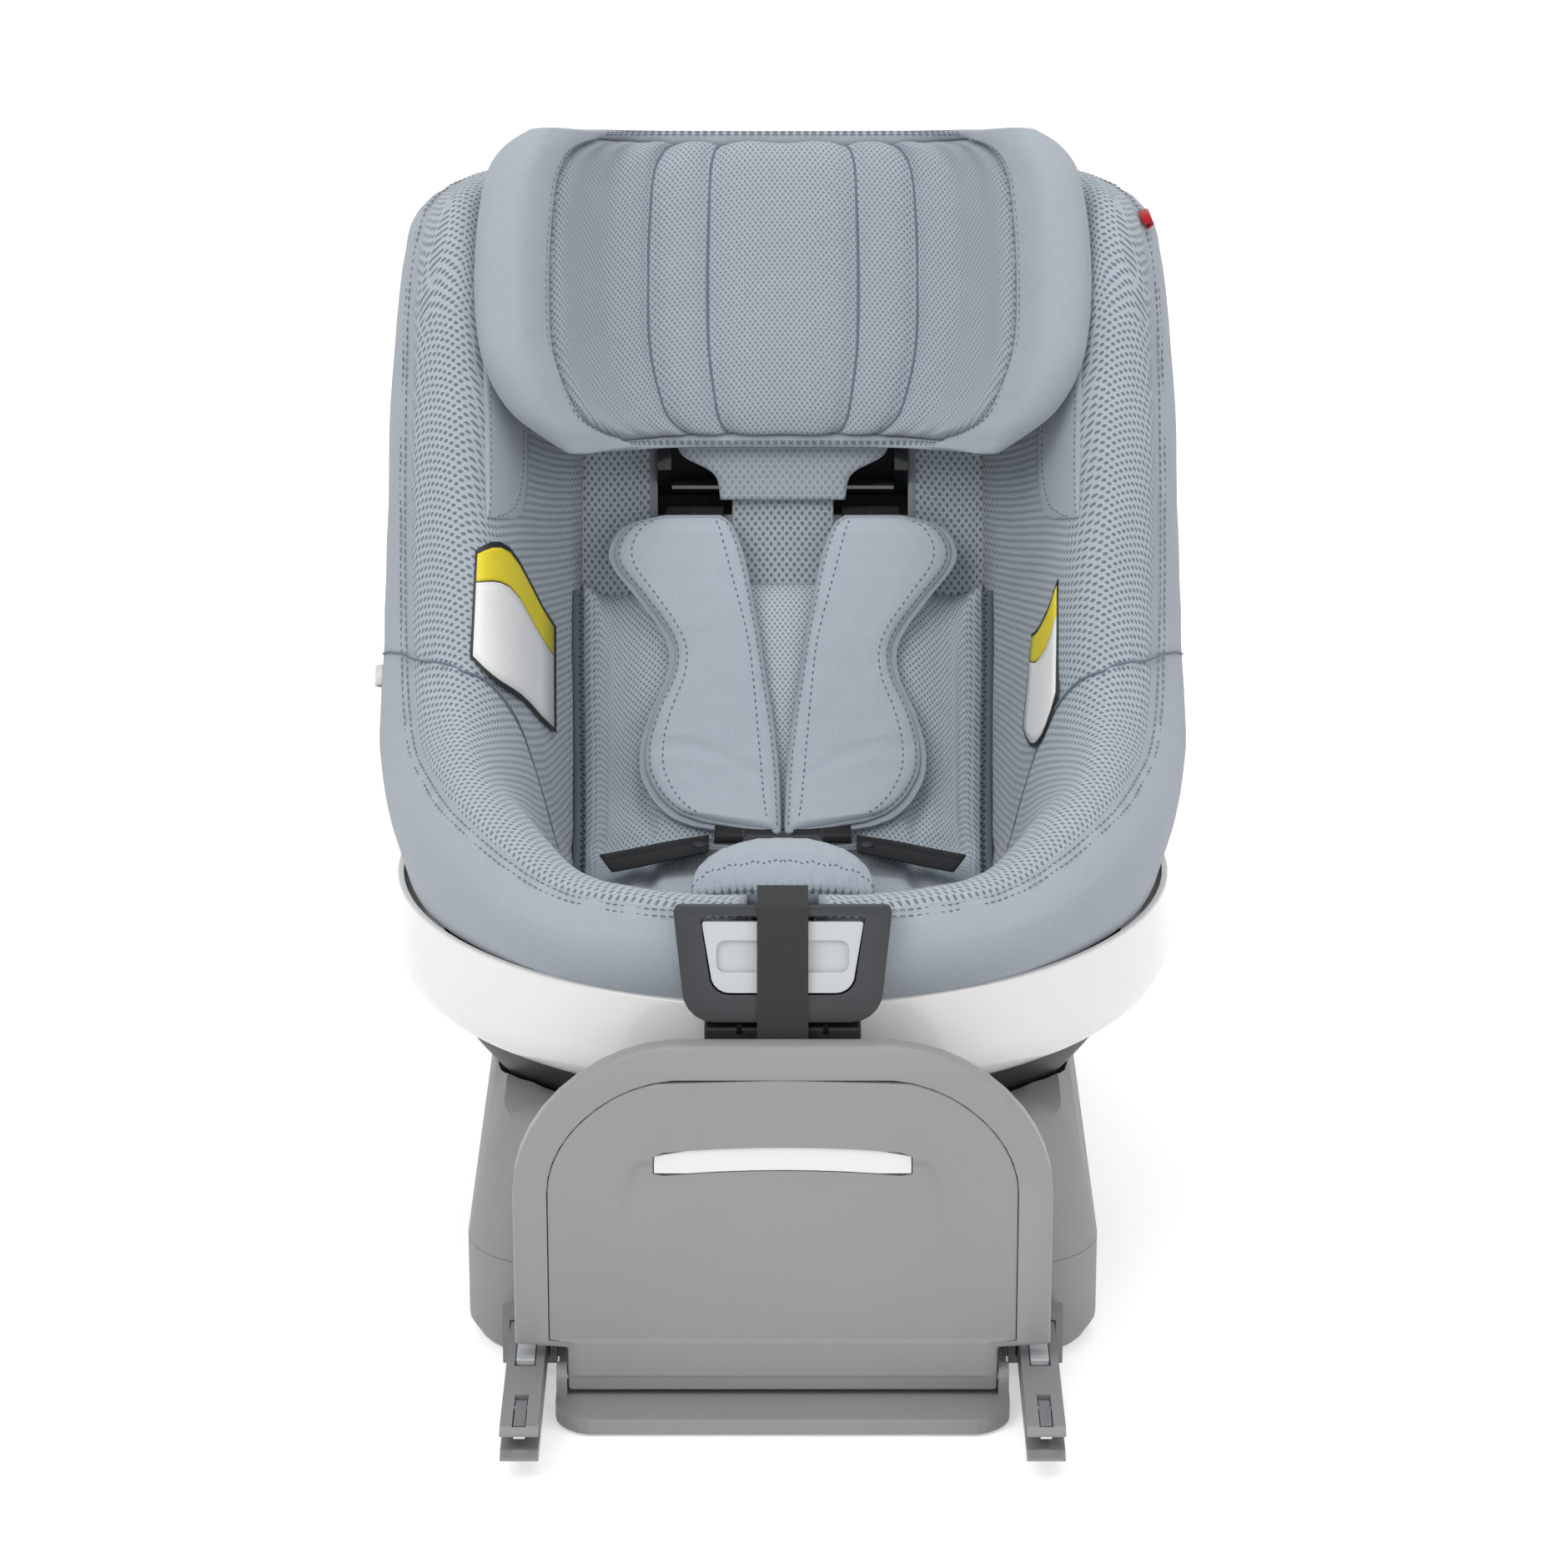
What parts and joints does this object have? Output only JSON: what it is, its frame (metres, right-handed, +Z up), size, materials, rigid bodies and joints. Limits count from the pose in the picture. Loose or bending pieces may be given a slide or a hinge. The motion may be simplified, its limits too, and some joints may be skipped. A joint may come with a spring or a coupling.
{
  "type": "child car seat",
  "caption": "Turning and reclining child car seat on a base with latch arms, rebound panel, support leg, sliding headrest and harness.",
  "frame": {"origin": "on the resting plane, under the axis on which the seat turns", "axes": "+X across the seat, -Y towards the child's feet and the latch arms, +Z up"},
  "size_m": [0.4582, 0.6856, 0.6044],
  "materials": {
    "knit": "plain knit, slight heather",
    "mesh": "spacer mesh with open cells",
    "webbing": "woven webbing",
    "black": "fine moulded grain",
    "gloss": "polished",
    "bezel": "satin",
    "white": "polished",
    "handle": "satin gloss",
    "base": "fine moulded grain",
    "panel": "satin, fine grain",
    "rubber": "matt",
    "steel": "zinc plated",
    "red": "polished",
    "shell": "moulded grain"
  },
  "bodies": {
    "base": {"base_tray": "base", "base_cover": "base", "bearing_ring": "steel", "arm_guide_left": "base", "arm_guide_right": "base", "base_lip": "base", "leg_pin": "steel", "panel_hinge_rod": "steel", "rubber_strip_left": "rubber", "rubber_strip_right": "rubber"},
    "isofix_slide": {"isofix_frame": "steel", "connector_left": "steel", "connector_right": "steel"},
    "hook_left": {"hook_left": "steel"},
    "hook_right": {"hook_right": "steel"},
    "release_left": {"release_left": "handle"},
    "release_right": {"release_right": "handle"},
    "rebound_panel": {"panel_frame": "panel", "panel_inset": "panel"},
    "panel_grip": {"panel_grip": "white"},
    "leg_outer": {"leg_outer": "steel"},
    "leg_inner": {"leg_inner": "steel", "leg_foot": "black"},
    "leg_button": {"leg_button": "red"},
    "turntable": {"turntable_disc": "black", "carriage_bowl": "black", "skirt_ring": "white", "front_tongue": "black", "recline_track": "black"},
    "seat": {"seat_shell": "shell", "back_cover": "shell", "runner_left": "steel", "runner_right": "steel", "front_bezel": "bezel", "adjuster_body": "steel", "bolster_cover": "knit", "seat_liner": "mesh", "insert_cushion": "mesh", "wing_pad_left": "knit", "wing_pad_right": "knit", "shoulder_strap_left": "webbing", "shoulder_strap_right": "webbing", "shoulder_pad_left": "knit", "shoulder_pad_right": "knit", "lap_strap_left": "webbing", "lap_strap_right": "webbing", "tongue_left": "steel", "tongue_right": "steel", "buckle": "black", "buckle_pad": "knit", "crotch_strap": "webbing", "adjuster_strap": "webbing"},
    "buckle_button": {"buckle_button": "red"},
    "adjuster_button": {"adjuster_button": "black"},
    "recline_handle": {"recline_handle": "handle"},
    "headrest": {"headrest_shell": "shell", "headrest_pad": "mesh", "headrest_rim": "knit", "harness_rod": "gloss"},
    "headrest_lever": {"headrest_lever": "black"}
  },
  "joints": [
    {"name": "seat_turn", "type": "hinge", "parent": "base", "child": "turntable", "pos_m": [0, 0, 0.08], "axis": [0, 0, 1], "continuous": true},
    {"name": "recline", "type": "hinge", "parent": "turntable", "child": "seat", "pos_m": [0, 0, 0.2725], "axis": [-1, 0, 0], "range_deg": [0, 12]},
    {"name": "headrest_slide", "type": "slide", "parent": "seat", "child": "headrest", "axis": [0, 0.4223, 0.9065], "range_m": [0, 0.11]},
    {"name": "headrest_lever_turn", "type": "hinge", "parent": "headrest", "child": "headrest_lever", "pos_m": [0, 0.2731, 0.5703], "axis": [1, 0, 0], "range_deg": [0, 14], "stiffness_Nm_per_rad": 0.3},
    {"name": "recline_handle_pull", "type": "slide", "parent": "seat", "child": "recline_handle", "axis": [0, 0.2419, 0.9703], "range_m": [0, 0.0025], "stiffness_N_per_m": 800},
    {"name": "adjuster_button_press", "type": "slide", "parent": "seat", "child": "adjuster_button", "axis": [0, 0, -1], "range_m": [0, 0.004], "stiffness_N_per_m": 400},
    {"name": "buckle_button_press", "type": "slide", "parent": "seat", "child": "buckle_button", "axis": [0, 0, -1], "range_m": [0, 0.003], "stiffness_N_per_m": 800},
    {"name": "isofix_slide", "type": "slide", "parent": "base", "child": "isofix_slide", "axis": [0, -1, 0], "range_m": [-0.1, 0.02]},
    {"name": "release_left_slide", "type": "slide", "parent": "isofix_slide", "child": "release_left", "axis": [0, -1, 0], "range_m": [0, 0.006], "stiffness_N_per_m": 300},
    {"name": "hook_left_turn", "type": "hinge", "parent": "isofix_slide", "child": "hook_left", "pos_m": [-0.1375, -0.311, 0.0265], "axis": [-1, 0, 0], "range_deg": [0, 14.32]},
    {"name": "release_right_slide", "type": "slide", "parent": "isofix_slide", "child": "release_right", "axis": [0, -1, 0], "range_m": [0, 0.006], "stiffness_N_per_m": 300},
    {"name": "hook_right_turn", "type": "hinge", "parent": "isofix_slide", "child": "hook_right", "pos_m": [0.1375, -0.311, 0.0265], "axis": [-1, 0, 0], "range_deg": [0, 14.32]},
    {"name": "panel_fold", "type": "hinge", "parent": "base", "child": "rebound_panel", "pos_m": [0, -0.2545, 0.0185], "axis": [1, 0, 0], "range_deg": [0, 20]},
    {"name": "panel_grip_press", "type": "slide", "parent": "rebound_panel", "child": "panel_grip", "axis": [0, 1, 0], "range_m": [0, 0.0035], "stiffness_N_per_m": 500},
    {"name": "leg_fold", "type": "hinge", "parent": "base", "child": "leg_outer", "pos_m": [0, 0.272, 0.026], "axis": [1, 0, 0], "range_deg": [0, 95]},
    {"name": "leg_extend", "type": "slide", "parent": "leg_outer", "child": "leg_inner", "axis": [0, -1, 0], "range_m": [0, 0.16]},
    {"name": "leg_button_press", "type": "slide", "parent": "leg_outer", "child": "leg_button", "axis": [0, 0, 1], "range_m": [0, 0.0025], "stiffness_N_per_m": 400}
  ],
  "couplings": [
    {"joint": "hook_left_turn", "follows": "release_left_slide", "rad_per_m": 41.597},
    {"joint": "hook_right_turn", "follows": "release_right_slide", "rad_per_m": 41.597}
  ]
}
